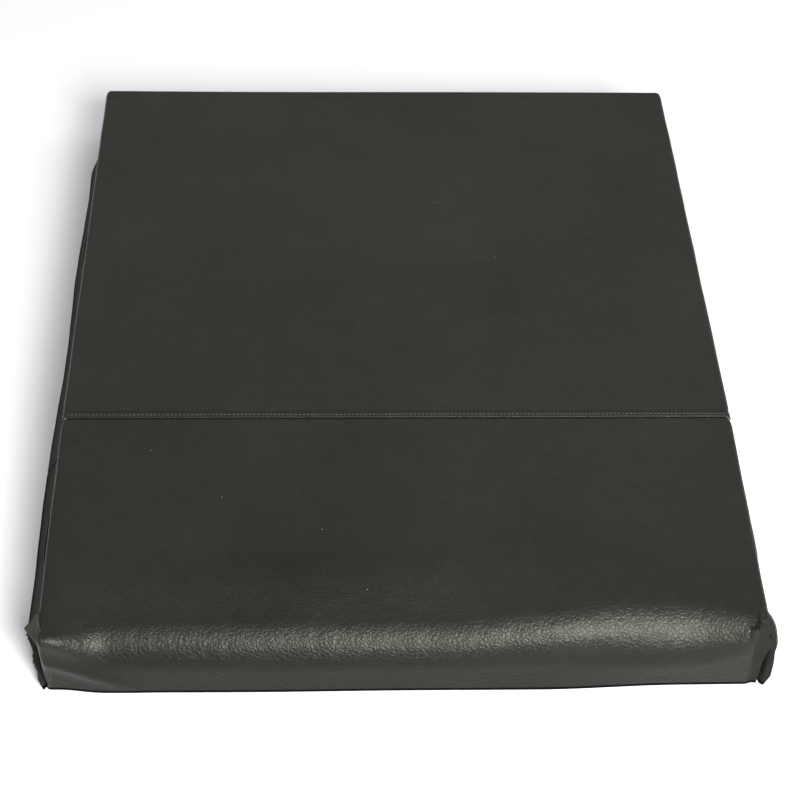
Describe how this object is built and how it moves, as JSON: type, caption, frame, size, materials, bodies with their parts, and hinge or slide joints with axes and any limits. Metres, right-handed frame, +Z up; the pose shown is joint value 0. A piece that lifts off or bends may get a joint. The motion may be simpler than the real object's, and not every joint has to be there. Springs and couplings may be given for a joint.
{
  "type": "spa cover",
  "caption": "Folding spa cover of foam-filled black leather-grain vinyl panels joined by a sewn fold, with skirts, zips, straps and handles.",
  "frame": {"origin": "on the floor at the centre of the cover's plan", "axes": "+X to the right, +Y from the short front panel to the long back panel, +Z up"},
  "size_m": [1.69, 1.97, 0.2096],
  "materials": {
    "black_vinyl": "embossed leather grain, satin",
    "liner_cloth": "coated woven cloth, matt",
    "webbing": "woven polyester webbing",
    "foam": null,
    "gasket_foam": "open soft foam",
    "vapour_film": "heat-sealed polythene film",
    "galvanised_steel": "zinc-coated sheet",
    "brass": "polished",
    "moulded_plastic": "moulded acetal",
    "zinc": "die-cast zinc, dark plated"
  },
  "bodies": {
    "back_panel": {"back_foam_core": "foam", "back_stiffener_channel": "galvanised_steel", "back_vapour_barrier": "vapour_film", "back_barrier_seal": "vapour_film", "back_top_skin": "black_vinyl", "back_left_band": "black_vinyl", "back_right_band": "black_vinyl", "back_hinge_facing": "black_vinyl", "back_rim_strip": "black_vinyl", "back_underside_liner": "liner_cloth", "back_zip_tape_inner": "webbing", "back_zip_tape_outer": "webbing", "back_zip_chain": "moulded_plastic", "back_left_skirt": "black_vinyl", "back_right_skirt": "black_vinyl", "back_end_skirt": "black_vinyl", "back_left_handle": "webbing", "back_right_handle": "webbing", "back_left_handle_patch": "black_vinyl", "back_right_handle_patch": "black_vinyl", "back_left_drain_eyelet": "brass", "back_right_drain_eyelet": "brass", "back_end_band": "black_vinyl", "hinge_strip": "black_vinyl", "hinge_gasket": "gasket_foam"},
    "back_zip_slider": {"back_zip_slider": "zinc"},
    "back_zip_pull": {"back_zip_pull": "zinc"},
    "back_left_strap": {"back_left_strap": "webbing"},
    "back_right_strap": {"back_right_strap": "webbing"},
    "back_left_buckle": {"back_left_buckle": "moulded_plastic"},
    "back_right_buckle": {"back_right_buckle": "moulded_plastic"},
    "front_panel": {"front_foam_core": "foam", "front_stiffener_channel": "galvanised_steel", "front_vapour_barrier": "vapour_film", "front_barrier_seal": "vapour_film", "front_top_skin": "black_vinyl", "front_left_band": "black_vinyl", "front_right_band": "black_vinyl", "front_hinge_facing": "black_vinyl", "front_rim_strip": "black_vinyl", "front_underside_liner": "liner_cloth", "front_zip_tape_inner": "webbing", "front_zip_tape_outer": "webbing", "front_zip_chain": "moulded_plastic", "front_left_skirt": "black_vinyl", "front_right_skirt": "black_vinyl", "front_end_skirt": "black_vinyl", "front_left_handle": "webbing", "front_right_handle": "webbing", "front_left_handle_patch": "black_vinyl", "front_right_handle_patch": "black_vinyl", "front_left_drain_eyelet": "brass", "front_right_drain_eyelet": "brass"},
    "front_zip_slider": {"front_zip_slider": "zinc"},
    "front_zip_pull": {"front_zip_pull": "zinc"},
    "front_left_strap": {"front_left_strap": "webbing"},
    "front_right_strap": {"front_right_strap": "webbing"},
    "front_left_buckle": {"front_left_buckle": "moulded_plastic"},
    "front_right_buckle": {"front_right_buckle": "moulded_plastic"}
  },
  "joints": [
    {"name": "front_panel_fold", "type": "hinge", "parent": "back_panel", "child": "front_panel", "pos_m": [0, -0.335, 0.2116], "axis": [-1, 0, 0], "range_deg": [0, 182]},
    {"name": "front_zip_slide", "type": "slide", "parent": "front_panel", "child": "front_zip_slider", "axis": [1, 0, 0], "range_m": [0, 1.49]},
    {"name": "front_zip_pull_swing", "type": "hinge", "parent": "front_zip_slider", "child": "front_zip_pull", "pos_m": [-0.7482, -0.3635, 0.0975], "axis": [0, 1, 0], "range_deg": [-85, 85]},
    {"name": "front_left_strap_swing", "type": "hinge", "parent": "front_panel", "child": "front_left_strap", "pos_m": [-0.55, -0.955, 0.1038], "axis": [1, 0, 0], "range_deg": [-6, 70]},
    {"name": "front_left_buckle_swing", "type": "hinge", "parent": "front_left_strap", "child": "front_left_buckle", "pos_m": [-0.55, -0.955, 0.05], "axis": [1, 0, 0], "range_deg": [-5, 40]},
    {"name": "front_right_strap_swing", "type": "hinge", "parent": "front_panel", "child": "front_right_strap", "pos_m": [0.55, -0.955, 0.1038], "axis": [1, 0, 0], "range_deg": [-6, 70]},
    {"name": "front_right_buckle_swing", "type": "hinge", "parent": "front_right_strap", "child": "front_right_buckle", "pos_m": [0.55, -0.955, 0.05], "axis": [1, 0, 0], "range_deg": [-5, 40]},
    {"name": "back_zip_slide", "type": "slide", "parent": "back_panel", "child": "back_zip_slider", "axis": [1, 0, 0], "range_m": [0, 1.49]},
    {"name": "back_zip_pull_swing", "type": "hinge", "parent": "back_zip_slider", "child": "back_zip_pull", "pos_m": [-0.7482, -0.3065, 0.0975], "axis": [0, 1, 0], "range_deg": [-85, 85]},
    {"name": "back_left_strap_swing", "type": "hinge", "parent": "back_panel", "child": "back_left_strap", "pos_m": [-0.55, 0.955, 0.1038], "axis": [-1, 0, 0], "range_deg": [-6, 70]},
    {"name": "back_left_buckle_swing", "type": "hinge", "parent": "back_left_strap", "child": "back_left_buckle", "pos_m": [-0.55, 0.955, 0.05], "axis": [-1, 0, 0], "range_deg": [-5, 40]},
    {"name": "back_right_strap_swing", "type": "hinge", "parent": "back_panel", "child": "back_right_strap", "pos_m": [0.55, 0.955, 0.1038], "axis": [-1, 0, 0], "range_deg": [-6, 70]},
    {"name": "back_right_buckle_swing", "type": "hinge", "parent": "back_right_strap", "child": "back_right_buckle", "pos_m": [0.55, 0.955, 0.05], "axis": [-1, 0, 0], "range_deg": [-5, 40]}
  ]
}
